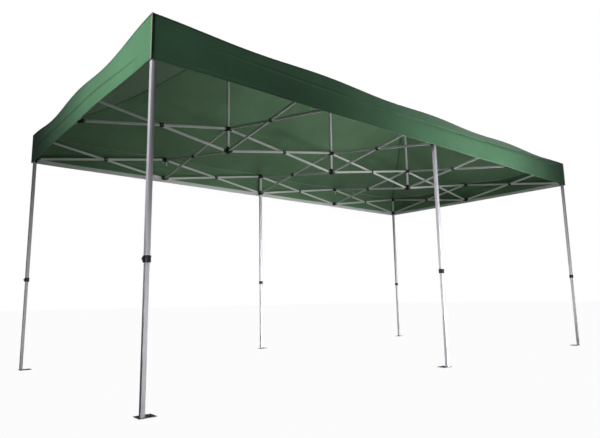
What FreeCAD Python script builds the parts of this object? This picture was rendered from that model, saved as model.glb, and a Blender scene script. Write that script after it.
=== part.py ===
"""Pop up gazebo, 6 m by 3 m: six telescopic legs, a folding scissor frame, three peak poles and a
hipped fabric canopy with hanging valances.

Frame of reference: millimetres, +Z up, origin on the ground under the middle of the canopy.
+X runs along the long side (right), -Y is the front. The frame stands on a grid of square bays:
hubs sit at (i * pitch, j * pitch) with i from -2 to 2 and j from -1 to 1. Legs stand at i = -2, 0, 2
on the front and back rows, peak poles at i = -1, 0, 1 on the ridge row.
"""
import FreeCAD
import Part
import Sketcher
import math
import os

from FreeCAD import Placement, Rotation, Vector

# ------------------------------------------------------------------ driving dimensions
SIZES = {
    # grid of the folding frame
    "pitch": 1480,              # hub to hub, both ways
    "upper_z": 2415,            # pivot height of the upper hubs
    "lower_z": 2182,            # pivot height of the lower hubs
    "pivot_reach": 36,          # hub centre to the pivot in its ear
    # scissor bars
    "bar_height": 25,
    "bar_thick": 12,
    "bar_wall": 0.8,
    "bar_tip": 9,               # bar end beyond its pivot
    "bar_side": 7,              # sideways offset of each bar of a pair
    "pin_dia": 6,
    "pin_hole_dia": 7,
    "pin_head_dia": 14,
    "pin_head_thick": 3,
    "pin_gap": 0.3,
    # hubs
    "hub_width": 39,
    "hub_height": 44,
    "slider_width": 41,
    "ear_reach": 50,
    "ear_width": 21,
    "ear_height": 28,
    "slot_width": 14,
    "slider_bore": 33,
    "guide_bore": 26.5,
    # legs
    "outer_width": 32,
    "outer_wall": 1.0,
    "outer_bottom": 890,
    "outer_top": 2438,
    "inner_width": 26,
    "inner_wall": 1.0,
    "inner_top": 1300,
    "collar_width": 39,
    "collar_height": 41,
    "collar_z": 875,
    "button_reach": 11,
    "button_width": 14,
    "button_height": 18,
    # feet
    "foot_thick": 4,
    "foot_out_x": 20,
    "foot_in_x": 85,
    "foot_middle_x": 52,
    "foot_out_y": 15,
    "foot_in_y": 75,
    "peg_dia": 9,
    "peg_near": 12,             # peg holes, inward from the leg centre
    "peg_far": 58,
    "peg_side": 60,             # peg hole line beside the leg, corner feet
    "peg_side_middle": 38,
    # peak poles
    "pole_width": 25,
    "pole_wall": 1.2,
    "pole_top": 3334,
    "plug_height": 14,
    # canopy
    "canopy_out": 30,           # overhang beyond the leg centres
    "eave_z": 2460,
    "peak_z": 3360,
    "valance_bottom": 2155,
    "cloth": 1.5,
    "seam": 2,                  # gap between the roof edge and the valance top
}

doc = FreeCAD.newDocument("pop_up_gazebo")
sheet = doc.addObject("Spreadsheet::Sheet", "Sizes")
for row, (alias, value) in enumerate(SIZES.items(), start=1):
    sheet.set(f"A{row}", alias)
    sheet.set(f"B{row}", str(value))
    sheet.setAlias(f"B{row}", alias)
doc.recompute()


def size(alias):
    """A driving dimension, read back from the sheet."""
    return float(sheet.get(alias))


PITCH = size("pitch")
REACH = size("pivot_reach")
SPAN = PITCH - 2 * REACH                              # pivot to pivot, along the ground
GAP = size("upper_z") - size("lower_z")               # pivot to pivot, in height
BAR_LENGTH = math.hypot(SPAN, GAP)
BAR_SLOPE = math.degrees(math.atan2(GAP, SPAN))
LEVELS = {"upper": size("upper_z"), "lower": size("lower_z")}
SIDES = {"upper": 1, "lower": -1}                     # which way the ear slots are offset
CLOTH = size("cloth")

NAMES_X = {-2: "left", 0: "middle", 2: "right"}
NAMES_Y = {-1: "front", 1: "back"}
LEGS = [(i, j) for j in (-1, 1) for i in (-2, 0, 2)]
HEADINGS = {(1, 0): 0, (0, 1): 90, (-1, 0): 180, (0, -1): 270}

# The scissor pairs that are modelled bar by bar: name, inner grid point, heading.
SCISSORS = [
    ("ridge_inner_right", (0, 0), (1, 0)),
    ("ridge_inner_left", (0, 0), (-1, 0)),
    ("ridge_outer_right", (1, 0), (1, 0)),
    ("ridge_outer_left", (-1, 0), (-1, 0)),
    ("middle_front", (0, 0), (0, -1)),
    ("middle_back", (0, 0), (0, 1)),
    ("right_front", (2, 0), (0, -1)),
    ("right_back", (2, 0), (0, 1)),
    ("left_front", (-2, 0), (0, -1)),
    ("left_back", (-2, 0), (0, 1)),
]

# The trusses that are joined in one node each: name, scissor pairs, and the hubs that they hold.
TRUSSES = [
    ("front_eave_truss", [((i, -1), (1, 0)) for i in (-2, -1, 0, 1)], [(-1, -1), (1, -1)]),
    ("back_eave_truss", [((i, 1), (1, 0)) for i in (-2, -1, 0, 1)], [(-1, 1), (1, 1)]),
    ("left_cross_truss", [((-1, 0), (0, -1)), ((-1, 0), (0, 1))], []),
    ("right_cross_truss", [((1, 0), (0, -1)), ((1, 0), (0, 1))], []),
]


# ------------------------------------------------------------------ small builders
def bind(obj, **expressions):
    """Bind properties of an object to the sheet; a bare word is an alias."""
    for name, text in expressions.items():
        words = text.split(" ")
        obj.setExpression(name, " ".join("Sizes." + w if w in SIZES else w for w in words))


def box(name, length, width, height, centre, base_z, turn=0.0, shift=0.0, side=0.0):
    """A box centred on x and y, standing at base_z, then shifted along and beside its heading."""
    solid = doc.addObject("Part::Box", name)
    bind(solid, Length=length, Width=width, Height=height)
    doc.recompute([solid])
    corner = Vector(shift - solid.Length.Value / 2, side - solid.Width.Value / 2, base_z)
    heading = Placement(centre, Rotation(turn, 0, 0))
    solid.Placement = heading * Placement(corner, Rotation())
    return solid


def cross_pin(name, diameter, start, length, centre, turn=0.0, shift=0.0, z=0.0):
    """A cylinder lying across the heading, from `start` sideways over `length`."""
    pin = doc.addObject("Part::Cylinder", name)
    bind(pin, Radius=f"{diameter} / 2")
    pin.Height = length
    lying = Placement(Vector(shift, start, z), Rotation(Vector(1, 0, 0), -90))
    pin.Placement = Placement(centre, Rotation(turn, 0, 0)) * lying
    return pin


def upright(name, diameter, height, at, base_z):
    """A vertical cylinder."""
    rod = doc.addObject("Part::Cylinder", name)
    bind(rod, Radius=f"{diameter} / 2", Height=height)
    rod.Placement.Base = Vector(at.x, at.y, base_z)
    return rod


def fuse(name, shapes):
    joined = doc.addObject("Part::MultiFuse", name)
    joined.Shapes = shapes
    return joined


def cut(name, base, tools):
    result = doc.addObject("Part::Cut", name)
    result.Base = base
    result.Tool = tools[0] if len(tools) == 1 else fuse(name + "_tools", tools)
    return result


def group(name, members):
    """Separate solids in one node."""
    together = doc.addObject("Part::Compound", name)
    together.Links = members
    return together


def grid_point(point, z):
    return Vector(point[0] * PITCH, point[1] * PITCH, z)


def place_name(point):
    """A leg's name, such as front_left."""
    return f"{NAMES_Y[point[1]]}_{NAMES_X[point[0]]}"


def headings_at(point):
    """Every way a scissor pair leaves this grid point."""
    ways = []
    for step in HEADINGS:
        i, j = point[0] + step[0], point[1] + step[1]
        if abs(i) <= 2 and abs(j) <= 1:
            ways.append(HEADINGS[step])
    return ways


def square_tube(name, width, wall, height, centre, base_z):
    """A square tube, open at both ends."""
    outside = box(name + "_outside", width, width, height, centre, base_z)
    inner = f"{width} - 2 * {wall}"
    inside = box(name + "_inside", inner, inner, height, centre, base_z)
    return cut(name, outside, [inside])


# ------------------------------------------------------------------ hubs
def hub(name, point, level, width="hub_width", bore=None):
    """A moulded block with a forked ear and a pin for each scissor pair that meets it."""
    centre = grid_point(point, LEVELS[level])
    side = SIDES[level] * size("bar_side")
    block_z, ear_z = -size("hub_height") / 2, -size("ear_height") / 2
    half = size("hub_width") / 2
    ear_length = size("ear_reach") - half + 2
    middle = half - 2 + ear_length / 2
    solids = [box(name + "_block", width, width, "hub_height", centre, block_z)]
    slots, pins = [], []
    for turn in headings_at(point):
        tag = f"{name}_{turn}"
        ear = box(tag + "_ear", "ear_reach - hub_width / 2 + 2", "ear_width", "ear_height",
                  centre, ear_z, turn, middle, side)
        slot = box(tag + "_slot", "ear_reach - hub_width / 2", "slot_width", "hub_height",
                   centre, block_z, turn, half + (size("ear_reach") - half) / 2, side)
        pin = cross_pin(tag + "_pin", "pin_dia", side - size("slot_width") / 2 - 2,
                        size("slot_width") + 4, centre, turn, REACH)
        solids.append(ear)
        slots.append(slot)
        pins.append(pin)
    if bore:
        slots.append(box(name + "_bore", bore, bore, "hub_height", centre, block_z))
    body = cut(name + "_forked", fuse(name + "_blank", solids), slots)
    return fuse(name, [body] + pins)


# ------------------------------------------------------------------ scissor bars
def bar_blank(name):
    """A flat tube lying along +X from its first pivot at the origin, with its three cross holes."""
    whole = f"{BAR_LENGTH} + 2 * bar_tip"
    middle = BAR_LENGTH / 2
    high = size("bar_height") / 2
    outside = box(name + "_outside", whole, "bar_thick", "bar_height", Vector(), -high, 0, middle)
    inside = box(name + "_inside", whole, "bar_thick - 2 * bar_wall", "bar_height - 2 * bar_wall",
                 Vector(), -high + size("bar_wall"), 0, middle)
    tools = [inside]
    for k, along in enumerate((0, BAR_LENGTH)):
        tools.append(cross_pin(f"{name}_hole{k}", "pin_hole_dia", -size("bar_thick"),
                               2 * size("bar_thick"), Vector(), 0, along))
    return outside, tools


def falling_bar(name):
    """The bar that starts at an upper hub. It carries the rivet at the crossing."""
    outside, tools = bar_blank(name)
    half, side = size("bar_thick") / 2, size("bar_side")
    middle = BAR_LENGTH / 2
    far = -2 * side - half - size("pin_gap")
    shank = cross_pin(name + "_shank", "pin_dia", far, half - far, Vector(), 0, middle)
    head = cross_pin(name + "_head", "pin_head_dia", far - size("pin_head_thick"),
                     size("pin_head_thick"), Vector(), 0, middle)
    return fuse(name, [cut(name + "_tube", outside, tools), shank, head])


def rising_bar(name):
    """The bar that starts at a lower hub. It turns on the rivet of the other one."""
    outside, tools = bar_blank(name)
    tools.append(cross_pin(name + "_centre_hole", "pin_hole_dia", -size("bar_thick"),
                           2 * size("bar_thick"), Vector(), 0, BAR_LENGTH / 2))
    return cut(name, outside, tools)


def scissor(name, start, step):
    """A crossed pair of bars from one grid point towards the next; returns both bars."""
    turn = HEADINGS[step]
    heading = Placement(grid_point(start, 0), Rotation(turn, 0, 0))
    side = size("bar_side")
    falling = falling_bar(f"bar_{name}_falling")
    falling.Placement = heading * Placement(Vector(REACH, side, LEVELS["upper"]),
                                            Rotation(0, BAR_SLOPE, 0))
    rising = rising_bar(f"bar_{name}_rising")
    rising.Placement = heading * Placement(Vector(REACH, -side, LEVELS["lower"]),
                                           Rotation(0, -BAR_SLOPE, 0))
    return falling, rising


# ------------------------------------------------------------------ legs
def outer_leg(point):
    """Upper leg tube, its top bracket, the height collar at its foot and the collar's button."""
    name = "outer_leg_" + place_name(point)
    centre = grid_point(point, 0)
    tube = square_tube(name + "_tube", "outer_width", "outer_wall", "outer_top - outer_bottom",
                       centre, size("outer_bottom"))
    bracket = hub(name + "_bracket", point, "upper", bore="outer_width")
    collar_z = size("collar_z")
    outside = box(name + "_collar_outside", "collar_width", "collar_width", "collar_height",
                  centre, collar_z)
    leg_seat = box(name + "_leg_seat", "outer_width", "outer_width", "collar_height", centre,
                   size("outer_bottom"))
    throat = box(name + "_throat", "outer_width - 2 * outer_wall", "outer_width - 2 * outer_wall",
                 "collar_height", centre, collar_z - 1)
    collar = cut(name + "_collar", outside, [leg_seat, throat])
    outward = 180 if point[0] <= 0 else 0
    button = box(name + "_button", "button_reach", "button_width", "button_height", centre,
                 collar_z + (size("collar_height") - size("button_height")) / 2, outward,
                 (size("collar_width") + size("button_reach")) / 2)
    return group(name, [tube, bracket, collar, button])


def inner_leg(point):
    """Lower leg tube standing on its foot plate, which has two peg holes."""
    name = "inner_leg_" + place_name(point)
    centre = grid_point(point, 0)
    tube = square_tube(name + "_tube", "inner_width", "inner_wall", "inner_top - foot_thick",
                       centre, size("foot_thick"))
    inward_x = -math.copysign(1, point[0]) if point[0] else 1
    inward_y = -point[1]
    if point[0]:
        length = "foot_in_x + foot_out_x"
        middle_x = inward_x * (size("foot_in_x") - size("foot_out_x")) / 2
        peg_x = size("peg_side")
    else:
        length = "2 * foot_middle_x"
        middle_x = 0
        peg_x = size("peg_side_middle")
    middle_y = inward_y * (size("foot_in_y") - size("foot_out_y")) / 2
    plate = box(name + "_plate", length, "foot_in_y + foot_out_y", "foot_thick",
                centre + Vector(middle_x, middle_y, 0), 0)
    pegs = []
    for k, along in enumerate(("peg_near", "peg_far")):
        at = centre + Vector(inward_x * peg_x, inward_y * size(along), 0)
        pegs.append(upright(f"{name}_peg{k}", "peg_dia", "foot_thick", at, 0))
    return group(name, [tube, cut(name + "_foot", plate, pegs)])


# ------------------------------------------------------------------ peak poles
def peak_pole(label, point):
    """Lower hub of the ridge row with the pole that stands on it and carries a canopy peak."""
    name = "peak_pole_" + label
    centre = grid_point(point, 0)
    foot_z = size("lower_z") + size("hub_height") / 2
    base = hub(name + "_hub", point, "lower")
    tube = square_tube(name + "_tube", "pole_width", "pole_wall",
                       "pole_top - lower_z - hub_height / 2", centre, foot_z)
    plug = box(name + "_plug", "pole_width", "pole_width", "plug_height", centre,
               size("pole_top"))
    return group(name, [base, tube, plug])


# ------------------------------------------------------------------ canopy
def roof_panel(name, half_eave, half_ridge, turn, edge):
    """One slope of the hipped roof: a flat sheet, drawn in its own plane and tilted about its eave."""
    run = PITCH + size("canopy_out")
    rise = size("peak_z") - size("eave_z")
    body = doc.addObject("PartDesign::Body", name)
    ground = next(f for f in body.Origin.OriginFeatures if f.Role == "XY_Plane")
    sketch = body.newObject("Sketcher::SketchObject", name + "_outline")
    sketch.AttachmentSupport = [(ground, "")]
    sketch.MapMode = "FlatFace"
    slant = math.hypot(run, rise)
    wide, narrow = eval_length(half_eave), eval_length(half_ridge)
    corners = [(-wide, 0), (wide, 0), (narrow, slant), (-narrow, slant)]
    if narrow == 0:
        corners = corners[:3]
    for k, (x, y) in enumerate(corners):
        x2, y2 = corners[(k + 1) % len(corners)]
        sketch.addGeometry(Part.LineSegment(Vector(x, y, 0), Vector(x2, y2, 0)))
    count = len(corners)
    for k in range(count):
        sketch.addConstraint(Sketcher.Constraint("Coincident", k, 2, (k + 1) % count, 1))
    for k, (x, y) in enumerate(corners):
        if y == 0:
            sketch.addConstraint(Sketcher.Constraint("PointOnObject", k, 1, -1))
        else:
            index = sketch.addConstraint(Sketcher.Constraint("DistanceY", -1, 1, k, 1, y))
            bind(sketch, **{f"Constraints[{index}]":
                            "sqrt( ( pitch + canopy_out ) ^ 2 + ( peak_z - eave_z ) ^ 2 )"})
        if x == 0:
            sketch.addConstraint(Sketcher.Constraint("PointOnObject", k, 1, -2))
            continue
        ends = (-1, 1, k, 1) if x > 0 else (k, 1, -1, 1)
        index = sketch.addConstraint(Sketcher.Constraint("DistanceX", *ends, abs(x)))
        bind(sketch, **{f"Constraints[{index}]": half_eave if y == 0 else half_ridge})
    pad = body.newObject("PartDesign::Pad", name + "_cloth")
    pad.Profile = sketch
    bind(pad, Length="cloth")
    tilt = math.degrees(math.atan2(rise, run))
    body.Placement = Placement(edge, Rotation(turn, 0, tilt))
    return body


def eval_length(text):
    """The value of a short sum of aliases and numbers, such as 2 * pitch + canopy_out."""
    total = 0.0
    for term in text.split(" + "):
        product = 1.0
        for factor in term.split(" * "):
            product *= size(factor) if factor in SIZES else float(factor)
        total += product
    return total


def valance(name, length, turn, reach):
    """A straight hanging skirt along one side, just outside the roof's edge."""
    height = "eave_z - valance_bottom - seam"
    return box(name, length, "cloth", height, Vector(), size("valance_bottom"), turn, 0,
               -reach - CLOTH / 2)


# ------------------------------------------------------------------ assembly
subparts = []
for leg in LEGS:
    subparts.append(outer_leg(leg))
    subparts.append(inner_leg(leg))
    subparts.append(hub("slider_" + place_name(leg), leg, "lower", "slider_width", "slider_bore"))

for label, i in (("left", -1), ("centre", 0), ("right", 1)):
    subparts.append(hub("upper_hub_" + label, (i, 0), "upper", bore="guide_bore"))
    subparts.append(peak_pole(label, (i, 0)))

for label, i in (("left", -2), ("right", 2)):
    subparts.append(hub(f"upper_hub_{label}_end", (i, 0), "upper"))
    subparts.append(hub(f"lower_hub_{label}_end", (i, 0), "lower"))

for label, start, step in SCISSORS:
    subparts.extend(scissor(label, start, step))

for label, pairs, hubs in TRUSSES:
    members = []
    for k, (start, step) in enumerate(pairs):
        members.extend(scissor(f"{label}_{k}", start, step))
    for k, point in enumerate(hubs):
        members.append(hub(f"{label}_upper{k}", point, "upper"))
        members.append(hub(f"{label}_lower{k}", point, "lower"))
    subparts.append(group(label, members))

OUT = size("canopy_out")
EAVE = size("eave_z")
LONG_HALF = 2 * PITCH + OUT
SHORT_HALF = PITCH + OUT
for label, turn, half_eave, half_ridge, reach in (
        ("front", 0, "2 * pitch + canopy_out", "pitch", SHORT_HALF),
        ("right", 90, "pitch + canopy_out", "0 * pitch", LONG_HALF),
        ("back", 180, "2 * pitch + canopy_out", "pitch", SHORT_HALF),
        ("left", 270, "pitch + canopy_out", "0 * pitch", LONG_HALF)):
    edge = Rotation(turn, 0, 0).multVec(Vector(0, -reach, EAVE))
    subparts.append(roof_panel("roof_" + label, half_eave, half_ridge, turn, edge))
    subparts.append(valance("valance_" + label, f"2 * ( {half_eave} )", turn, reach))

doc.recompute()

# ------------------------------------------------------------------ checks and files
for obj in doc.Objects:
    if "Invalid" in obj.State or "Error" in obj.State:
        raise RuntimeError(f"{obj.Label} failed to build: {obj.State}")

labels = [part.Label for part in subparts]
if len(set(labels)) != len(labels):
    raise RuntimeError("two sub-parts share a name")

os.makedirs("parts", exist_ok=True)
for part in subparts:
    shape = part.Shape
    if shape.isNull() or not shape.isValid():
        raise RuntimeError(f"{part.Label} has no valid shape")
    shape.exportStep(os.path.join("parts", part.Label + ".step"))
print(f"{len(subparts)} sub-parts written")
print(f"bar length {BAR_LENGTH:.2f}, resting slope {BAR_SLOPE:.3f} degrees")
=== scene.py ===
"""A 6 m by 3 m pop up gazebo: box-tube legs and scissor bars, moulded hubs, and a sewn green canopy
pushed up by three peak poles. Metres, +Z up, the front is -Y."""
import math

import bmesh
import bpy
import numpy as np
from mathutils import Matrix


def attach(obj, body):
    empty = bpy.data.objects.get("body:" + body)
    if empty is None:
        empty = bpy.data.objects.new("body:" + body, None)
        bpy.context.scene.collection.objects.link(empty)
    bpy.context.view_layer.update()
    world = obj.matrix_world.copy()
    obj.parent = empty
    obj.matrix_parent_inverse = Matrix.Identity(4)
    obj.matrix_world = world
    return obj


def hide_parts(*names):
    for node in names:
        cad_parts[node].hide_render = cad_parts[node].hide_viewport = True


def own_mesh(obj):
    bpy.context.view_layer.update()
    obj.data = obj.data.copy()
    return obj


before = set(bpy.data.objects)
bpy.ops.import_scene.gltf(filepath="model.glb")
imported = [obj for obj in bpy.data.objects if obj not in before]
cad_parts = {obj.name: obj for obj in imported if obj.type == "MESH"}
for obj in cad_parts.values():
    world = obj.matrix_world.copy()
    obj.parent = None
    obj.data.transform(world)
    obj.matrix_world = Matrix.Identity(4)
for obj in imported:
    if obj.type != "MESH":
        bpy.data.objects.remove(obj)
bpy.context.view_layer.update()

# ------------------------------------------------------------------ sizes of the frame, in metres
BAY = 1.480             # hub to hub
UPPER = 2.415           # pivots of the upper hubs
LOWER = 2.182           # pivots of the lower hubs
PIVOT = 0.036           # hub middle to the pivot in its ear
SIDE = 0.007            # each bar of a pair lies this far off the row line
EAVE = 2.446            # cloth where it rests on the corner brackets
PEAK = 3.370
HEM = 2.138             # bottom edge of the valances
HALF_X = 2 * BAY + 0.026
HALF_Y = BAY + 0.028
HUB_HALF = 0.0195       # half the width of a hub block
SLIDER_HALF = 0.0205    # the slider's block runs outside the leg, so it is a little wider
LEG_HALF = 0.016        # outer leg tube
LEG_FOOT = 0.890        # lower end of the outer leg tube, inside the height collar
LEG_TOP = 2.424
POLE_TOP = 3.334        # upper end of a peak pole, inside its cap

LEG_PLACES = {"front_left": (-2, -1), "front_middle": (0, -1), "front_right": (2, -1),
              "back_left": (-2, 1), "back_middle": (0, 1), "back_right": (2, 1)}
SCISSORS = (("ridge_inner_right", (0, 0), (1, 0)), ("ridge_inner_left", (0, 0), (-1, 0)),
            ("ridge_outer_right", (1, 0), (1, 0)), ("ridge_outer_left", (-1, 0), (-1, 0)),
            ("middle_front", (0, 0), (0, -1)), ("middle_back", (0, 0), (0, 1)),
            ("right_front", (2, 0), (0, -1)), ("right_back", (2, 0), (0, 1)),
            ("left_front", (-2, 0), (0, -1)), ("left_back", (-2, 0), (0, 1)))


# ------------------------------------------------------------------ shapes
def skin(rings):
    """Solid from stacked closed rings (ring, point, xyz): quads between neighbours, and one flat face
    over each end."""
    n, m = rings.shape[:2]
    i = np.arange(m)
    j = (i + 1) % m
    row = (np.arange(n - 1) * m)[:, None]
    faces = np.stack([row + i, row + j, row + m + j, row + m + i], -1).reshape(-1, 4).tolist()
    faces += [list(range(m - 1, -1, -1)), list(range((n - 1) * m, n * m))]
    return rings.reshape(-1, 3), faces


def outline(half_x, half_y, corner, steps=3):
    """Rounded rectangle, counter-clockwise: a quarter circle of radius `corner` at each corner."""
    turn = np.linspace(0, math.pi / 2, steps)
    quarter = np.arange(4)[:, None] * math.pi / 2 + turn
    sign = np.array([[1, 1], [-1, 1], [-1, -1], [1, -1]])[:, None, :]
    centre = sign * np.array([half_x - corner, half_y - corner])
    return (centre + corner * np.stack([np.cos(quarter), np.sin(quarter)], -1)).reshape(-1, 2)


def tube(half_x, half_y, corner, length, edge=0.001, steps=3):
    """Rounded rectangle carried along +Z from 0 to `length`. Each end is eased in on a quarter circle of
    radius `edge`."""
    turn = np.linspace(0, math.pi / 2, steps)
    inset = edge * (1 - np.sin(turn))
    rise = edge * (1 - np.cos(turn))
    insets = np.concatenate([inset, inset[::-1]])
    heights = np.concatenate([rise, length - rise[::-1]])
    rings = []
    for gap, z in zip(insets, heights):
        flat = outline(half_x - gap, half_y - gap, max(corner - gap, 0.0004))
        rings.append(np.column_stack([flat, np.full(len(flat), z)]))
    return skin(np.array(rings))


def turned(profile, sides=20):
    """Profile of (radius, height) pairs, bottom to top, turned once round Z."""
    turn = np.linspace(0, 2 * math.pi, sides, endpoint=False)
    rings = [np.column_stack([r * np.cos(turn), r * np.sin(turn), np.full(sides, z)]) for r, z in profile]
    return skin(np.array(rings))


def cheek(inner, pivot, radius, thick, edge=0.0008):
    """Hub ear: a plate in XZ that runs from x = inner to a half circle of `radius` round x = pivot, and is
    `thick` along Y."""
    turn = np.linspace(-math.pi / 2, math.pi / 2, 13)
    rings = []
    for gap, y in ((edge, 0), (0, edge), (0, thick - edge), (edge, thick)):
        r = radius - gap
        arc = np.stack([pivot + r * np.cos(turn), r * np.sin(turn)], -1)
        flat = np.concatenate([arc, [[inner, r], [inner, -r]]])
        rings.append(np.column_stack([flat[:, 0], np.full(len(flat), y), flat[:, 1]]))
    points, faces = skin(np.array(rings))
    return points, [f[::-1] for f in faces]


def put(shape, at=(0, 0, 0), up=(0, 0, 1), across=(1, 0, 0)):
    """Turns a shape so its Z lies along `up` and its X as near `across` as it can, then moves it to `at`.
    Where `up` and `across` are in line, world Y takes the place of `across`."""
    points, faces = shape
    z = np.array(up, float) / np.linalg.norm(up)
    if abs(np.dot(across, z)) > 0.99:
        across = (0, 1, 0)
    x = np.array(across, float) - z * np.dot(across, z)
    x = x / np.linalg.norm(x)
    turn = np.stack([x, np.cross(z, x), z])
    return points @ turn + np.array(at, float), faces


def piece(name, shapes, finish, body, stands_for=(), crease=35):
    """One object from several shapes, in one finish, riding on a CAD body."""
    points = np.concatenate([p for p, _ in shapes])
    start = np.cumsum([0] + [len(p) for p, _ in shapes[:-1]])
    faces = [[int(v + s) for v in f] for (_, fs), s in zip(shapes, start) for f in fs]
    mesh = bpy.data.meshes.new(name)
    mesh.from_pydata(points.tolist(), [], faces)
    mesh.materials.append(finish)
    mesh.polygons.foreach_set("use_smooth", np.ones(len(faces), bool))
    mesh.set_sharp_from_angle(angle=math.radians(crease))
    mesh.update()
    obj = bpy.data.objects.new(name, mesh)
    bpy.context.collection.objects.link(obj)
    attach(obj, body)
    if stands_for:
        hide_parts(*stands_for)
    return obj


def cloth(name, surface, finish, body, stands_for=(), thick=0.0012, flip=False, inside=None):
    """A sewn panel: a grid of points (row, column, xyz) skinned with quads, with its own UV in metres,
    given a cloth's thickness. `finish` is the outer face, and `inside` the other one."""
    n, m = surface.shape[:2]
    i = np.arange(m - 1)
    row = (np.arange(n - 1) * m)[:, None]
    quads = np.stack([row + i, row + i + 1, row + m + i + 1, row + m + i], -1).reshape(-1, 4)
    if flip:
        quads = quads[:, ::-1]
    mesh = bpy.data.meshes.new(name)
    mesh.from_pydata(surface.reshape(-1, 3).tolist(), [], quads.tolist())
    step_u = np.linalg.norm(np.diff(surface, axis=1), axis=2)
    step_v = np.linalg.norm(np.diff(surface, axis=0), axis=2)
    u = np.concatenate([np.zeros((n, 1)), np.cumsum(step_u, 1)], 1)
    u = u - u[:, -1:] / 2
    v = np.concatenate([np.zeros((1, m)), np.cumsum(step_v, 0)], 0)
    uv = np.stack([u, v], -1).reshape(-1, 2)
    layer = mesh.uv_layers.new(name="cut")
    layer.data.foreach_set("uv", uv[quads.reshape(-1)].reshape(-1).astype(np.float32))
    mesh.materials.append(finish)
    mesh.materials.append(inside or finish)
    mesh.polygons.foreach_set("use_smooth", np.ones(len(quads), bool))
    work = bmesh.new()
    work.from_mesh(mesh)
    bmesh.ops.remove_doubles(work, verts=work.verts, dist=1e-6)
    work.to_mesh(mesh)
    work.free()
    mesh.update()
    obj = bpy.data.objects.new(name, mesh)
    bpy.context.collection.objects.link(obj)
    wall = obj.modifiers.new("thickness", "SOLIDIFY")
    wall.thickness = thick
    wall.offset = -1
    wall.material_offset = 1
    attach(obj, body)
    if stands_for:
        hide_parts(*stands_for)
    return obj


def spot(place, z=0.0):
    """Grid place (i, j) as a point."""
    return np.array([place[0] * BAY, place[1] * BAY, z])


# ------------------------------------------------------------------ finishes
def colour(red, green, blue):
    """Screen colour, 0 to 255, as linear light."""
    c = np.array([red, green, blue]) / 255
    lin = np.where(c <= 0.04045, c / 12.92, ((c + 0.055) / 1.055) ** 2.4)
    return (*[float(v) for v in lin], 1.0)


class Finish:
    """A material with one Principled shader and small helpers to wire it."""

    def __init__(self, name, base, rough, metal=0.0, sheen=0.0, coat=0.0):
        self.mat = bpy.data.materials.new(name)
        self.mat.use_nodes = True
        self.tree = self.mat.node_tree
        self.shader = self.tree.nodes["Principled BSDF"]
        self.shader.inputs["Base Color"].default_value = base
        self.shader.inputs["Roughness"].default_value = rough
        self.shader.inputs["Metallic"].default_value = metal
        self.shader.inputs["Sheen Weight"].default_value = sheen
        self.shader.inputs["Coat Weight"].default_value = coat
        self.where = self.tree.nodes.new("ShaderNodeTexCoord")

    def node(self, kind, **values):
        made = self.tree.nodes.new(kind)
        for key, value in values.items():
            if key in made.inputs:
                made.inputs[key].default_value = value
            else:
                setattr(made, key, value)
        return made

    def join(self, source, target):
        self.tree.links.new(source, target)

    def noise(self, scale, detail=3, space="Object", stretch=(1, 1, 1)):
        grid = self.node("ShaderNodeMapping")
        grid.inputs["Scale"].default_value = stretch
        self.join(self.where.outputs[space], grid.inputs["Vector"])
        made = self.node("ShaderNodeTexNoise", Scale=scale, Detail=detail)
        self.join(grid.outputs["Vector"], made.inputs["Vector"])
        return made.outputs["Fac"]

    def ramp(self, source, stops):
        made = self.node("ShaderNodeValToRGB")
        ramp = made.color_ramp
        while len(ramp.elements) < len(stops):
            ramp.elements.new(0.5)
        for element, (at, tone) in zip(ramp.elements, stops):
            element.position = at
            element.color = tone if len(tone) == 4 else (*tone, 1)
        self.join(source, made.inputs["Fac"])
        return made.outputs["Color"]

    def blend(self, kind, amount, first, second):
        made = self.node("ShaderNodeMix", data_type="RGBA", blend_type=kind)
        for value, socket in ((amount, 0), (first, 6), (second, 7)):
            if hasattr(value, "is_output"):
                self.join(value, made.inputs[socket])
            else:
                made.inputs[socket].default_value = value
        return made.outputs[2]

    def sum(self, kind, first, second):
        made = self.node("ShaderNodeMath", operation=kind)
        for value, socket in ((first, 0), (second, 1)):
            if hasattr(value, "is_output"):
                self.join(value, made.inputs[socket])
            else:
                made.inputs[socket].default_value = value
        return made.outputs[0]

    def bump(self, source, strength, depth):
        made = self.node("ShaderNodeBump", Strength=strength, Distance=depth)
        self.join(source, made.inputs["Height"])
        self.join(made.outputs["Normal"], self.shader.inputs["Normal"])


def grey(level):
    return (level, level, level, 1.0)


def powder_coat(name, light, dark):
    """Baked light-grey paint: faint cloudy tone, orange-peel bump, and scuffs that run along the tube."""
    made = Finish(name, light, 0.42, coat=0.15)
    cloud = made.noise(5, 4)
    scuff = made.noise(60, 5, stretch=(1, 1, 0.12))
    tone = made.ramp(cloud, ((0.3, dark), (0.7, light)))
    worn = made.ramp(scuff, ((0.70, grey(0)), (0.80, grey(1))))
    made.join(made.blend("MIX", made.sum("MULTIPLY", worn, 0.25), tone, colour(120, 120, 124)),
              made.shader.inputs["Base Color"])
    made.join(made.ramp(scuff, ((0.3, grey(0.36)), (0.8, grey(0.55)))), made.shader.inputs["Roughness"])
    made.bump(made.noise(900, 2), 0.12, 0.0004)
    return made.mat


def moulded_plastic(name):
    """Black glass-filled nylon: fine spark-eroded grain, dusty high spots."""
    made = Finish(name, colour(22, 22, 24), 0.5)
    dust = made.noise(18, 4)
    made.join(made.ramp(dust, ((0.35, colour(16, 16, 18)), (0.75, colour(38, 38, 41)))),
              made.shader.inputs["Base Color"])
    made.join(made.ramp(dust, ((0.3, grey(0.40)), (0.75, grey(0.62)))), made.shader.inputs["Roughness"])
    made.bump(made.noise(700, 3), 0.25, 0.0004)
    return made.mat


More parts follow.
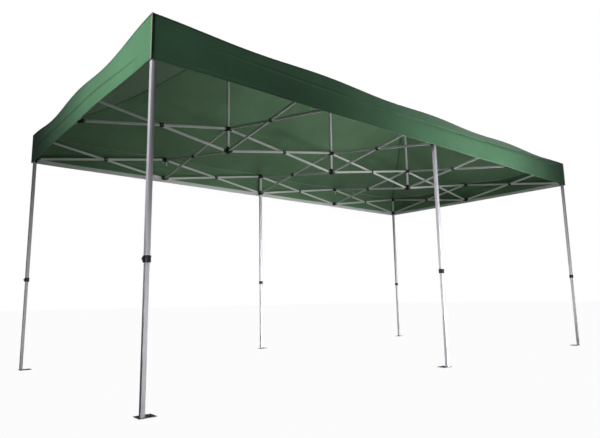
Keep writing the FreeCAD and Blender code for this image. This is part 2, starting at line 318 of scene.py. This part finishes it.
def zinc(name):
    """Dull galvanised steel: crystal spangle from a cell pattern, streaked roughness."""
    made = Finish(name, colour(168, 172, 178), 0.42, metal=0.75)
    cells = made.node("ShaderNodeTexVoronoi", Scale=160)
    made.join(made.where.outputs["Object"], cells.inputs["Vector"])
    spangle = made.ramp(cells.outputs["Distance"],
                        ((0.1, colour(150, 155, 162)), (0.8, colour(188, 192, 198))))
    made.join(spangle, made.shader.inputs["Base Color"])
    streaks = made.ramp(made.noise(90, 4), ((0.3, grey(0.34)), (0.7, grey(0.58))))
    made.join(streaks, made.shader.inputs["Roughness"])
    made.bump(made.noise(400, 2), 0.15, 0.0003)
    return made.mat


def woven(name, light, dark, pitch=0.0016, sheen=0.25, rough=0.78, cloud_scale=2.2):
    """Plain-weave coated cloth: warp and weft bands on the cut's own UV, a slight change of shade between
    areas, and soft wrinkles."""
    made = Finish(name, light, rough, sheen=sheen)
    made.shader.inputs["Sheen Roughness"].default_value = 0.5
    made.shader.inputs["Specular IOR Level"].default_value = 0.35
    bands = []
    for direction in ("X", "Y"):
        thread = made.node("ShaderNodeTexWave", wave_type="BANDS", bands_direction=direction,
                           Scale=0.314 / pitch)
        made.join(made.where.outputs["UV"], thread.inputs["Vector"])
        bands.append(thread.outputs["Fac"])
    weave = made.sum("MAXIMUM", *bands)
    cloud = made.noise(cloud_scale, 4)
    tone = made.ramp(cloud, ((0.3, dark), (0.7, light)))
    shade = made.ramp(weave, ((0.0, grey(0.90)), (1.0, grey(1.0))))
    made.join(made.blend("MULTIPLY", 0.6, tone, shade), made.shader.inputs["Base Color"])
    made.join(made.ramp(made.noise(14, 3), ((0.3, grey(rough - 0.08)), (0.7, grey(rough + 0.08)))),
              made.shader.inputs["Roughness"])
    rumple = made.noise(3.5, 5)
    fine = made.sum("MULTIPLY", weave, 0.02)
    made.bump(made.sum("ADD", rumple, fine), 0.35, 0.012)
    return made.mat


PAINT = powder_coat("leg_paint", colour(222, 220, 226), colour(208, 206, 214))
BAR_PAINT = powder_coat("bar_paint", colour(226, 228, 224), colour(212, 214, 210))
NYLON = moulded_plastic("black_nylon")
SHADOW = powder_coat("hole_shade", colour(120, 118, 124), colour(96, 95, 100))
ZINC = zinc("zinc_plate")
GREEN = woven("green_canvas", colour(90, 143, 104), colour(80, 130, 93))
LINING = woven("green_canvas_coated_side", colour(100, 136, 100), colour(86, 120, 88), sheen=0.35, rough=0.62)
EDGE_TAPE = woven("grey_hem_tape", colour(224, 226, 224), colour(208, 210, 208), pitch=0.002, sheen=0.1)
CREAM = woven("cream_piping", colour(206, 196, 176), colour(188, 178, 158), pitch=0.002, sheen=0.1)
SEAM_GREEN = woven("green_seam_binding", colour(70, 116, 80), colour(62, 104, 72), pitch=0.002)
STRAP = woven("white_strap", colour(226, 226, 222), colour(208, 208, 204), pitch=0.002, sheen=0.1)


FOOT_LINE = 0.0085      # top of the foot plate and its weld


def painted_leg_with_zinc_foot():
    """Inner legs keep their CAD shape: zinc below FOOT_LINE, paint above. Their dark adjusting holes are
    a piece of their own."""
    made = Finish("leg_and_foot", colour(220, 218, 224), 0.4)
    split = made.node("ShaderNodeSeparateXYZ")
    made.join(made.where.outputs["Object"], split.inputs["Vector"])
    foot = made.node("ShaderNodeMath", operation="LESS_THAN")
    made.join(split.outputs["Z"], foot.inputs[0])
    foot.inputs[1].default_value = FOOT_LINE
    foot = foot.outputs[0]
    cloud = made.noise(6, 4)
    paint = made.ramp(cloud, ((0.3, colour(206, 204, 212)), (0.7, colour(222, 220, 226))))
    cells = made.node("ShaderNodeTexVoronoi", Scale=160)
    made.join(made.where.outputs["Object"], cells.inputs["Vector"])
    plate = made.ramp(cells.outputs["Distance"], ((0.1, colour(138, 144, 152)), (0.8, colour(176, 182, 190))))
    made.join(made.blend("MIX", foot, paint, plate), made.shader.inputs["Base Color"])
    made.join(made.sum("MULTIPLY", foot, 0.7), made.shader.inputs["Metallic"])
    made.join(made.ramp(made.noise(50, 4, stretch=(1, 1, 0.15)), ((0.3, grey(0.36)), (0.8, grey(0.56)))),
              made.shader.inputs["Roughness"])
    made.bump(made.noise(800, 2), 0.12, 0.0004)
    return made.mat


# ------------------------------------------------------------------ scissor bars
def bar_pieces(name, start, heading, body, rising, squash=None, stands_for=()):
    """One scissor bar: a 25 x 12 box tube from ear pivot to ear pivot, a black plug in each end, and its
    share of the crossing rivet. start is the hub place it leaves, heading the way it runs."""
    h = np.array([*heading, 0.0])
    side = np.cross([0, 0, 1], h)
    a = spot(start) + PIVOT * h
    b = spot(start) + (BAY - PIVOT) * h
    a[2], b[2] = (LOWER, UPPER) if rising else (UPPER, LOWER)
    off = side * SIDE * (-1 if rising else 1)
    a, b = a + off, b + off
    run = (b - a) / np.linalg.norm(b - a)
    span = np.linalg.norm(b - a)
    out = -side if rising else side
    tall = np.cross(side, run)
    metal = [put(tube(0.0125, 0.006, 0.0022, span + 0.014, 0.0006), a - run * 0.007, run, tall)]
    black = [put(tube(0.0129, 0.0064, 0.0024, 0.011, 0.0012), p, d, tall)
             for p, d in ((a - run * 0.009, run), (b + run * 0.009, -run))]
    middle = (a + b) / 2
    button = turned(((0.0115, 0), (0.0125, 0.0008), (0.0125, 0.003), (0.0105, 0.0042), (0.002, 0.0044)))
    black.append(put(button, middle + out * 0.006, out))
    if not rising:
        black.append(put(turned(((0.0155, 0), (0.0168, 0.0006), (0.0168, 0.0014), (0.0155, 0.002))),
                         middle - side * 0.008, side))
        black.append(put(tube(0.019, 0.0068, 0.003, 0.044, 0.002), middle - run * 0.022, run, tall))
    else:
        black.append(put(tube(0.0165, 0.0068, 0.003, 0.036, 0.002), middle - run * 0.018, run, tall))
    head = turned(((0.0068, 0), (0.0066, 0.0012), (0.0045, 0.0024), (0.001, 0.0028)))
    rivet = [put(head, middle + out * 0.0102, out)]
    made = [piece("bar_" + name, metal, BAR_PAINT, body, stands_for),
            piece("bar_plugs_" + name, black, NYLON, body),
            piece("bar_rivet_" + name, rivet, ZINC, body)]
    if squash:
        for obj in made:
            push_in(obj, *squash)
    return made


def push_in(obj, axis, towards):
    """Gives the piece a mesh of its own, and does not move or squash it. `axis` and `towards` are not used."""
    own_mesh(obj)


for name, start, heading in SCISSORS:
    for rising in (False, True):
        kind = "rising" if rising else "falling"
        body = f"bar_{name}_{kind}"
        bar_pieces(f"{name}_{kind}", start, heading, body, rising, stands_for=(body,))

for row, j, truss in (("front", -1, "front_eave_truss"), ("back", 1, "back_eave_truss")):
    first = True
    for name, start, heading in SCISSORS[:4]:
        for rising in (False, True):
            kind = "rising" if rising else "falling"
            bar_pieces(f"{row}_row_{name[6:]}_{kind}", (start[0], j), heading, f"bar_{name}_{kind}", rising,
                       squash=((0, 1, 0), -j), stands_for=(truss,) if first else ())
            first = False

for column, i, truss in (("left", -1, "left_cross_truss"), ("right", 1, "right_cross_truss")):
    first = True
    for name, start, heading in SCISSORS[4:6]:
        for rising in (False, True):
            kind = "rising" if rising else "falling"
            bar_pieces(f"{column}_cross_{name[7:]}_{kind}", (i, 0), heading, f"bar_{name}_{kind}", rising,
                       squash=((1, 0, 0), -i), stands_for=(truss,) if first else ())
            first = False


# ------------------------------------------------------------------ hubs
def neighbours(place):
    """The ways in which scissors leave a hub."""
    i, j = place
    ways = [(1, 0), (-1, 0), (0, 1), (0, -1)]
    return [w for w in ways if abs(i + w[0]) <= 2 and abs(j + w[1]) <= 1]


def hub_shapes(place, z, upper, half):
    """Moulded hub: a rounded block with a collar ring top and bottom, and for each scissor a fork of two
    cheeks with a stiffening rib. The fork of an upper hub lies left of the line, that of a lower hub
    right of it."""
    at = spot(place, z)
    black = [put(tube(half, half, 0.006, 0.044, 0.003), at - (0, 0, 0.022)),
             put(tube(half + 0.0016, half + 0.0016, 0.007, 0.006, 0.0015), at + (0, 0, 0.010)),
             put(tube(half + 0.0016, half + 0.0016, 0.007, 0.006, 0.0015), at - (0, 0, 0.016))]
    bolts = []
    for way in neighbours(place):
        h = np.array([*way, 0.0])
        side = np.cross([0, 0, 1], h)
        shift = SIDE if upper else -SIDE
        for inner_face, away in ((shift + 0.0068, 1), (shift - 0.0068, -1)):
            start = inner_face if away > 0 else inner_face - 0.0038
            points, faces = cheek(half - 0.004, PIVOT, 0.014, 0.0038)
            turn = np.stack([h, side, np.array([0, 0, 1.0])])
            black.append((points @ turn + at + side * start, faces))
            face = at + PIVOT * h + side * (inner_face + away * 0.0036)
            head = turned(((0.0066, 0), (0.0066, 0.0012), (0.0052, 0.0030), (0.001, 0.0034)), 12)
            bolts.append(put(head, face, side * away))
        black.append(put(tube(0.0035, 0.0104, 0.0015, 0.024, 0.001),
                         at + h * (half + 0.003) + side * shift - (0, 0, 0.012), (0, 0, 1), h))
    return black, bolts


def hub(name, place, z, upper, body, half=HUB_HALF, stands_for=(), squash=None, extra=()):
    """One hub with its bolts, and whatever else is moulded in one with it."""
    black, bolts = hub_shapes(place, z, upper, half)
    made = [piece("hub_" + name, black + list(extra), NYLON, body, stands_for),
            piece("hub_bolts_" + name, bolts, ZINC, body)]
    if squash:
        for obj in made:
            push_in(obj, *squash)
    return made


ROW_NAMES = {-2: "left_end", -1: "left", 0: "centre", 1: "right", 2: "right_end"}
for i, word in ROW_NAMES.items():
    body = f"upper_hub_{word}"
    hub(f"upper_{word}", (i, 0), UPPER, True, body, stands_for=(body,))
    if abs(i) == 2:
        body = f"lower_hub_{word}"
        hub(f"lower_{word}", (i, 0), LOWER, False, body, stands_for=(body,))

for i, word in ((-1, "left"), (0, "centre"), (1, "right")):
    body = f"peak_pole_{word}"
    foot = put(turned(((0.010, 0), (0.0155, 0.003), (0.0165, 0.010))), spot((i, 0), LOWER - 0.034))
    socket = put(tube(0.0148, 0.0148, 0.004, 0.018, 0.0015), spot((i, 0), LOWER + 0.020))
    dome = turned(((0.012, 0), (0.0205, 0.002), (0.0215, 0.006), (0.018, 0.0115), (0.010, 0.0145),
                   (0.001, 0.0155)), 28)
    cap = put(dome, spot((i, 0), POLE_TOP - 0.0015))
    hub(f"lower_{word}", (i, 0), LOWER, False, body, extra=[foot, socket, cap])
    pole = put(tube(0.0125, 0.0125, 0.003, POLE_TOP - LOWER - 0.01, 0.0008), spot((i, 0), LOWER + 0.01))
    piece(f"peak_pole_tube_{word}", [pole], PAINT, body, stands_for=(body,))

for j, row in ((-1, "front"), (1, "back")):
    for i, word in ((-1, "left"), (1, "right")):
        hub(f"upper_{row}_{word}", (i, j), UPPER, True, f"upper_hub_{word}", squash=((0, 1, 0), -j))
        hub(f"lower_{row}_{word}", (i, j), LOWER, False, f"peak_pole_{word}", squash=((0, 1, 0), -j))


# ------------------------------------------------------------------ legs
def leg(word, place):
    """Outer tube with the top bracket and the height collar, and the slider that runs on it."""
    at = spot(place)
    outward = 1 if place[0] > 0 else -1
    body = "outer_leg_" + word
    post = put(tube(LEG_HALF, LEG_HALF, 0.0035, LEG_TOP - LEG_FOOT, 0.0008), at + (0, 0, LEG_FOOT))
    piece("leg_tube_" + word, [post], PAINT, body, stands_for=(body,))
    cap = put(tube(0.0185, 0.0185, 0.006, 0.010, 0.003), at + (0, 0, UPPER + 0.017))
    collar = [put(tube(0.0195, 0.0195, 0.005, 0.041, 0.002), at + (0, 0, 0.875)),
              put(tube(0.0210, 0.0210, 0.006, 0.007, 0.0018), at + (0, 0, 0.905)),
              put(tube(0.0208, 0.0208, 0.006, 0.005, 0.0016), at + (0, 0, 0.8765)),
              put(tube(0.0070, 0.0090, 0.003, 0.011, 0.003), at + (outward * 0.0192, 0, 0.8955),
                  (outward, 0, 0), (0, 1, 0))]
    hub("upper_" + word, place, UPPER, True, body, extra=[cap] + collar)
    slider_body = "slider_" + word
    facing = -place[1]
    lug = put(tube(0.0075, 0.0085, 0.003, 0.009, 0.003),
              at + (-outward * 0.012, facing * 0.0160, LOWER - 0.040), (0, facing, 0), (1, 0, 0))
    skirt = put(tube(0.0190, 0.0190, 0.005, 0.016, 0.0015), at + (0, 0, LOWER - 0.036))
    hub("slider_" + word, place, LOWER, False, slider_body, half=SLIDER_HALF, stands_for=(slider_body,),
        extra=[lug, skirt])
    disc = turned(((0.0038, 0), (0.0038, 0.0003), (0.001, 0.0004)), 12)
    holes = [put(disc, at + (outward * 0.01290, 0, z), (outward, 0, 0)) for z in np.arange(0.16, 0.87, 0.10)]
    piece("leg_adjusting_holes_" + word, holes, SHADOW, "inner_leg_" + word)
    weld = put(turned(((0.022, 0), (0.0205, 0.0018), (0.0188, 0.0030), (0.0180, 0.0034)), 4),
               at + (0, 0, 0.0038), (0, 0, 1), (1, 1, 0))
    piece("foot_weld_" + word, [weld], ZINC, "inner_leg_" + word)


LEG_FINISH = painted_leg_with_zinc_foot()
for word, place in LEG_PLACES.items():
    leg(word, place)
    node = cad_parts["inner_leg_" + word]
    if not node.material_slots:
        node.data.materials.append(LEG_FINISH)
    for paint_slot in node.material_slots:
        paint_slot.material = LEG_FINISH


# ------------------------------------------------------------------ canopy
def roof_height(x, y, share):
    """Height of the one sewn roof surface over (x, y). share is 0 at the eave and 1 on the ridge line.
    Straight slope from eave to ridge, less three sags: the ridge and slopes drop away from each peak pole
    as 1 - exp(-distance / 0.42); the slope hangs in a half sine; the eave hangs between its supports in
    squared sines, and a little more in the middle of each end."""
    slope = EAVE + (PEAK - EAVE) * share
    pole = np.minimum.reduce([np.hypot(x - p, y) for p in (-BAY, 0.0, BAY)])
    drop = 0.085 * (1 - np.exp(-pole / 0.42)) * share ** 1.5
    along = np.sin(math.pi * x / BAY) ** 2
    over = np.sin(math.pi * y / BAY) ** 2
    hang = (0.014 + 0.022 * (along + over)) * np.sin(math.pi * np.clip(share, 0, 1))
    near_end = np.clip((np.abs(x) - 2 * BAY + 0.9) / 0.9, 0, 1)
    ends = near_end ** 2 * (3 - 2 * near_end)
    middle = np.exp(-(y / 0.75) ** 2) * ends
    eave = (0.019 * along + 0.044 * over + 0.012 * middle) * (1 - share) ** 3
    return slope - drop - hang - eave


# rows of a roof panel, as shares of the way up: closer together at the eave and at the ridge
SHARES = np.concatenate([np.linspace(0, 0.1, 6)[:-1], np.linspace(0.1, 0.9, 29)[:-1], np.linspace(0.9, 1, 8)])


def long_roof(front, columns=181):
    """Front or back slope: straight lines across from hip to hip at each share of the way up, bent by
    roof_height."""
    share = SHARES[:, None]
    across = np.linspace(-1, 1, columns)[None, :]
    x = across * (HALF_X * (1 - share) + BAY * share)
    y = -HALF_Y * (1 - share) * front + 0 * x
    return np.stack([x, y, roof_height(x, y, share)], -1)


def end_roof(right, rows=91):
    """Triangular end slope, which narrows to the outer peak pole."""
    share = SHARES[:, None]
    across = np.linspace(-1, 1, rows)[None, :]
    y = across * HALF_Y * (1 - share)
    x = (HALF_X * (1 - share) + BAY * share) * right + 0 * y
    return np.stack([x, y, roof_height(x, y, share)], -1)


def eave_line(x, y):
    return roof_height(x, y, np.zeros_like(x))


def valance_sheet(along, side, fold, seed):
    """Hanging strip from the eave to the hem; `along` runs from one corner to the other. Its section is a
    packing fold: the cloth leans out in a straight line to the fold, and below it leans back in to 0.35
    of that at the hem. A shallow bell curve softens the fold, and a narrow one makes the tuck just above
    it. Amount, line and tuck run smoothly along the strip, two slow sines let the hem sway, and near the
    corners all of it eases to nothing."""
    t = along[None, :]
    v = np.linspace(0, 1, 91)[:, None]
    if side in ("front", "back"):
        x, y = t + 0 * v, np.full_like(t + 0 * v, HALF_Y * (1 if side == "back" else -1))
        half = HALF_X
    else:
        x, y = np.full_like(t + 0 * v, HALF_X * (1 if side == "right" else -1)), t + 0 * v
        half = HALF_Y
    top = eave_line(x, y)
    z = HEM + v * (top - HEM)
    ease = np.clip((half - np.abs(t)) / 0.30, 0, 1) ** 1.2
    stations, amounts, heights, tucks = (np.array(c, float) for c in zip(*fold))
    amount = np.interp(t, stations, amounts)
    line = np.interp(t, stations, heights)
    tuck = np.interp(t, stations, tucks)
    for _ in range(3):
        amount, line, tuck = (np.convolve(np.pad(c[0], 6, mode="edge"), np.ones(13) / 13, "valid")[None, :]
                              for c in (amount, line, tuck))
    above = np.clip((top - z) / (top - line), 0, None)
    below = (z - HEM) / (line - HEM)
    lean = np.minimum(above, 0.35 + 0.65 * below)
    lean = lean - 0.12 * np.exp(-((z - line) / 0.018) ** 2)
    groove = np.exp(-((z - line - 0.014) / 0.0085) ** 2)
    sway = 0.004 * np.sin(2.1 * t + seed) + 0.003 * np.sin(5.3 * t + 2 * seed)
    out = (amount * lean - tuck * groove + (1 - v) * sway) * ease
    normal = {"front": (0, -1), "back": (0, 1), "left": (-1, 0), "right": (1, 0)}[side]
    return np.stack([x + normal[0] * out, y + normal[1] * out, z], -1)


def inward(surface, side, gap):
    """The same strip moved towards the middle by gap."""
    normal = np.array({"front": (0, 1, 0), "back": (0, -1, 0), "left": (1, 0, 0), "right": (-1, 0, 0)}[side])
    return surface + normal * gap


long_way = np.linspace(-HALF_X, HALF_X, 241)
short_way = np.linspace(-HALF_Y, HALF_Y, 121)
# fold stations along each side: place, how far the cloth stands out, fold height, tuck depth
FOLDS = {
    "front": ((-3.0, 0.004, 2.330, 0.000), (-2.2, 0.008, 2.322, 0.002), (-1.2, 0.020, 2.313, 0.008),
              (-0.4, 0.034, 2.308, 0.013), (0.5, 0.050, 2.318, 0.018), (1.7, 0.062, 2.345, 0.018),
              (2.5, 0.024, 2.370, 0.006), (3.0, 0.006, 2.38, 0.0)),
    "back": ((-3.0, 0.006, 2.31, 0.0), (-1.4, 0.026, 2.30, 0.006), (0.3, 0.014, 2.31, 0.003),
             (1.5, 0.028, 2.30, 0.007), (3.0, 0.006, 2.31, 0.0)),
    "left": ((-1.5, 0.004, 2.20, 0.003), (-1.15, 0.016, 2.208, 0.012), (-0.6, 0.030, 2.230, 0.018),
             (0.3, 0.028, 2.235, 0.016), (0.9, 0.020, 2.25, 0.012), (1.5, 0.004, 2.26, 0.002)),
    "right": ((-1.5, 0.006, 2.30, 0.0), (-0.5, 0.026, 2.30, 0.008), (0.7, 0.018, 2.31, 0.004),
              (1.5, 0.005, 2.3, 0.0)),
}
ROOFS = {"front": (long_roof(1), False, (1, 0, 0), 0.09), "back": (long_roof(-1), True, (1, 0, 0), 0.09),
         "right": (end_roof(1), False, (0, 1, 0), 0.10), "left": (end_roof(-1), True, (0, 1, 0), 0.10)}
SWAY = {"front": 0.4, "back": 1.7, "left": 2.2, "right": 0.9}       # where each hem's sway starts
CARRIERS = {"front": "outer_leg_front_middle", "back": "outer_leg_back_middle",
            "right": "upper_hub_right_end", "left": "upper_hub_left_end"}


def gather(obj):
    """Gives the cloth a mesh of its own, and leaves its shape as it is."""
    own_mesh(obj)


def round_cord(line, radius, sides=8):
    """Cord of the given radius carried along a line of points; each ring is square to the line."""
    way = np.gradient(line, axis=0)
    way = way / np.linalg.norm(way, axis=1)[:, None]
    guide = np.where(np.abs(way[:, 2:3]) > 0.9, np.array([[1.0, 0, 0]]), np.array([[0, 0, 1.0]]))
    a = np.cross(guide, way)
    a = a / np.linalg.norm(a, axis=1)[:, None]
    b = np.cross(way, a)
    turn = np.linspace(0, 2 * math.pi, sides, endpoint=False)
    cos, sin = np.cos(turn)[None, :, None], np.sin(turn)[None, :, None]
    return skin(line[:, None] + radius * (cos * a[:, None] + sin * b[:, None]))


for side, (surface, flip, _, _) in ROOFS.items():
    roof = cloth("roof_cloth_" + side, surface, GREEN, "roof_" + side,
                 stands_for=("roof_" + side,), flip=flip, inside=LINING)
    gather(roof)
    long_side = side in ("front", "back")
    way = long_way if long_side else short_way
    panel = valance_sheet(way, side, FOLDS[side], SWAY[side])
    turned_in = side not in ("front", "right")
    drop = cloth("valance_cloth_" + side, panel, GREEN, CARRIERS[side],
                 stands_for=("valance_" + side,), flip=turned_in, inside=LINING)
    gather(drop)
    tape = cloth("valance_hem_tape_" + side, inward(panel[:15], side, 0.0022), EDGE_TAPE,
                 CARRIERS[side], thick=0.0008, flip=turned_in)
    gather(tape)
    hem = cloth("valance_hem_fold_" + side, inward(panel[:9], side, -0.0011), GREEN,
                CARRIERS[side], thick=0.0006, flip=turned_in)
    gather(hem)
    binding = cloth("eave_binding_" + side, inward(panel[-4:], side, -0.0012), SEAM_GREEN,
                    CARRIERS[side], thick=0.0006, flip=turned_in)
    gather(binding)


def share_at(x, y):
    """How far up the roof a point lies: its level distance from the side eave and from the end eave, each
    over its run, and of these the smaller."""
    return np.minimum((HALF_Y - np.abs(y)) / HALF_Y, (HALF_X - np.abs(x)) / (HALF_X - BAY))


def on_roof(x, y, lift):
    return np.stack([x, y, roof_height(x, y, share_at(x, y)) + lift], -1)


def hip_band(side, end, wide, lift):
    """Seam binding along one hip, on one panel: at each share of the way up it runs from the hip `wide`
    inwards."""
    share = SHARES[:, None]
    step = np.linspace(0, wide, 4)[None, :]
    if side in ("front", "back"):
        x = end * (HALF_X * (1 - share) + BAY * share - step)
        y = HALF_Y * (1 - share) * (1 if side == "back" else -1) + 0 * x
    else:
        y = end * np.maximum(HALF_Y * (1 - share) - step, 0)
        x = (HALF_X * (1 - share) + BAY * share) * (1 if side == "right" else -1) + 0 * y
    z = roof_height(x, y, share + 0 * x) + lift
    return np.stack([x, y, z], -1)


def pole_patch(x0, start, stop, radius, lift):
    """Reinforcing patch round a peak: the part of a disc between two bearings, laid on the roof."""
    r = np.linspace(0.004, radius, 10)[:, None]
    bearing = np.radians(np.linspace(start, stop, 33))[None, :]
    return on_roof(x0 + r * np.cos(bearing), r * np.sin(bearing), lift)


def up_facing(surface):
    """True where the grid's first quads face up."""
    a, b = surface[1:, :-1] - surface[:-1, :-1], surface[:-1, 1:] - surface[:-1, :-1]
    return float(np.cross(b, a)[..., 2].sum()) > 0


SEAM_WIDE = 0.022
SEAM_LIFTS = (("top", 0.0012), ("under", -0.0030))          # above and below the roof cloth
# patches round each peak: place along the ridge, then the bearings in degrees between which it lies
PATCHES = {"front": ((-BAY, 225, 360), (0, 180, 360), (BAY, 180, 315)),
           "back": ((-BAY, 0, 135), (0, 0, 180), (BAY, 45, 180)),
           "right": ((BAY, -45, 45),), "left": ((-BAY, 135, 225),)}
for side in ROOFS:
    strips = [(f"hip_seam_{side}_{face}_{word}", hip_band(side, end, SEAM_WIDE, lift))
              for end, word in ((-1, "low"), (1, "high"))
              for face, lift in SEAM_LIFTS]
    strips += [(f"peak_patch_{side}_{n}_{face}", pole_patch(x0, start, stop, 0.13, lift))
               for n, (x0, start, stop) in enumerate(PATCHES[side])
               for face, lift in (("top", 0.0014), ("under", -0.0034))]
    if side in ("front", "back"):
        edge = np.linspace(-BAY, BAY, 161)[None, :]
        down = np.linspace(0, SEAM_WIDE, 4)[:, None] * (1 if side == "back" else -1)
        for tag, lift in SEAM_LIFTS:
            strips.append((f"ridge_seam_{side}_{tag}", on_roof(edge + 0 * down, down + 0 * edge, lift)))
    for name, band in strips:
        seam = cloth(name, band, SEAM_GREEN, "roof_" + side, thick=0.0007,
                     flip=not up_facing(band))
        gather(seam)

for word, place in LEG_PLACES.items():
    if place[0] == 0:
        continue
    corner = np.array([math.copysign(HALF_X + 0.001, place[0]),
                       math.copysign(HALF_Y + 0.001, place[1]), 0])
    heights = np.linspace(HEM - 0.002, EAVE + 0.001, 24)
    line = corner + np.column_stack([np.zeros(24), np.zeros(24), heights])
    piece("corner_piping_" + word, [round_cord(line, 0.0034)], CREAM, "outer_leg_" + word)

for i, word in ((-1, "left"), (1, "right")):
    stubs = [put(tube(0.006, 0.0012, 0.001, reach, 0.0006),
                 spot((i, 1), UPPER - 0.022 - reach) + (dx, -0.012, 0))
             for dx, reach in ((-0.030, 0.022), (0.016, 0.052))]
    tab = piece(f"white_tabs_back_{word}", stubs, STRAP, f"upper_hub_{word}")
    push_in(tab, (0, 1, 0), -1)
button = turned(((0.004, 0), (0.012, 0.001), (0.0145, 0.005), (0.0145, 0.010), (0.012, 0.013),
                 (0.004, 0.014)), 24)
knob = put(button, spot((2, 0), UPPER - 0.004) - (0.034, 0, 0), (-1, 0, 0))
piece("white_end_cap_right", [knob], STRAP, "upper_hub_right_end")

# ------------------------------------------------------------------ stage, light and camera
floor_mesh = bpy.data.meshes.new("floor")
floor_mesh.from_pydata([(-60, -60, 0), (60, -60, 0), (60, 60, 0), (-60, 60, 0)], [], [(0, 1, 2, 3)])
floor = bpy.data.objects.new("floor", floor_mesh)
bpy.context.collection.objects.link(floor)
# the ground looks white, and throws light on the cloth only as a mid-grey floor would
ground = Finish("floor_white", (0.40, 0.40, 0.40, 1), 0.95)
seen = ground.node("ShaderNodeLightPath")
glow = ground.node("ShaderNodeEmission", Color=(1, 1, 1, 1), Strength=0.97)
paper = ground.node("ShaderNodeMixShader")
ground.join(seen.outputs["Is Camera Ray"], paper.inputs[0])
ground.join(ground.shader.outputs[0], paper.inputs[1])
ground.join(glow.outputs[0], paper.inputs[2])
ground_end = next(n for n in ground.tree.nodes if n.type == "OUTPUT_MATERIAL")
ground.join(paper.outputs[0], ground_end.inputs["Surface"])
floor_mesh.materials.append(ground.mat)

# white behind the object, with next to no light from it: the soft boxes do the lighting
world = bpy.data.worlds.new("white_room")
bpy.context.scene.world = world
world.use_nodes = True
back = world.node_tree.nodes["Background"]
look = world.node_tree.nodes.new("ShaderNodeLightPath")
soft = world.node_tree.nodes.new("ShaderNodeBackground")
mixer = world.node_tree.nodes.new("ShaderNodeMixShader")
back.inputs["Color"].default_value = (0.88, 0.90, 0.94, 1)
back.inputs["Strength"].default_value = 0.05
soft.inputs["Color"].default_value = (1, 1, 1, 1)
soft.inputs["Strength"].default_value = 1.0
end = next(n for n in world.node_tree.nodes if n.type == "OUTPUT_WORLD")
world.node_tree.links.new(look.outputs["Is Camera Ray"], mixer.inputs["Fac"])
world.node_tree.links.new(back.outputs["Background"], mixer.inputs[1])
world.node_tree.links.new(soft.outputs["Background"], mixer.inputs[2])
world.node_tree.links.new(mixer.outputs["Shader"], end.inputs["Surface"])


def soft_light(name, at, look_at, wide, tall, watts, spread=180):
    """Rectangular soft box aimed at a point; spread is the angle of its honeycomb grid."""
    data = bpy.data.lights.new(name, "AREA")
    data.shape = "RECTANGLE"
    data.size, data.size_y, data.energy = wide, tall, watts
    data.spread = math.radians(spread)
    lamp = bpy.data.objects.new(name, data)
    aim = np.array(look_at, float) - np.array(at, float)
    from_z = -aim / np.linalg.norm(aim)
    right = np.cross([0, 0, 1], from_z)
    right = right / np.linalg.norm(right)
    up = np.cross(from_z, right)
    lamp.matrix_world = Matrix([[right[k], up[k], from_z[k], at[k]] for k in range(3)] + [[0, 0, 0, 1]])
    lamp.visible_camera = False
    bpy.context.collection.objects.link(lamp)
    return lamp


soft_light("left_soft_box", (-8.0, -1.9, 3.0), (-3, -1.2, 2.35), 1.6, 0.4, 20, spread=44)
soft_light("front_low_soft_box", (-1.0, -8.5, 0.35), (0, -1.5, 0.45), 5, 0.6, 60, spread=22)
soft_light("right_front_soft_box", (1.2, -3.8, 0.15), (0.8, -1.5, 2.3), 1.8, 0.5, 20, spread=70)
soft_light("bounce_soft_box", (0, -1.0, 0.10), (0.2, 0.8, 2.4), 5, 1.2, 40)
soft_light("top_soft_box", (-2, -1, 12), (0, 0, 2), 8, 8, 120)

CAMERA_AT = (-4.194, -4.334, 0.640)
CAMERA_LENS = 30.365
CAMERA_TURN = (0.7035, 0.1594, -0.0169)     # heading east of north, pitch and roll, in radians

camera_data = bpy.data.cameras.new("camera")
camera_data.sensor_width = 36
camera_data.lens = CAMERA_LENS
camera = bpy.data.objects.new("camera", camera_data)
bpy.context.collection.objects.link(camera)
heading, pitch, roll = CAMERA_TURN
ahead = np.array([math.sin(heading) * math.cos(pitch), math.cos(heading) * math.cos(pitch), math.sin(pitch)])
right = np.array([math.cos(heading), -math.sin(heading), 0])
up = np.cross(right, ahead)
right, up = math.cos(roll) * right + math.sin(roll) * up, -math.sin(roll) * right + math.cos(roll) * up
rows = [[right[k], up[k], -ahead[k], CAMERA_AT[k]] for k in range(3)]
camera.matrix_world = Matrix(rows + [[0, 0, 0, 1]])
bpy.context.scene.camera = camera
bpy.context.scene.view_settings.view_transform = "Standard"
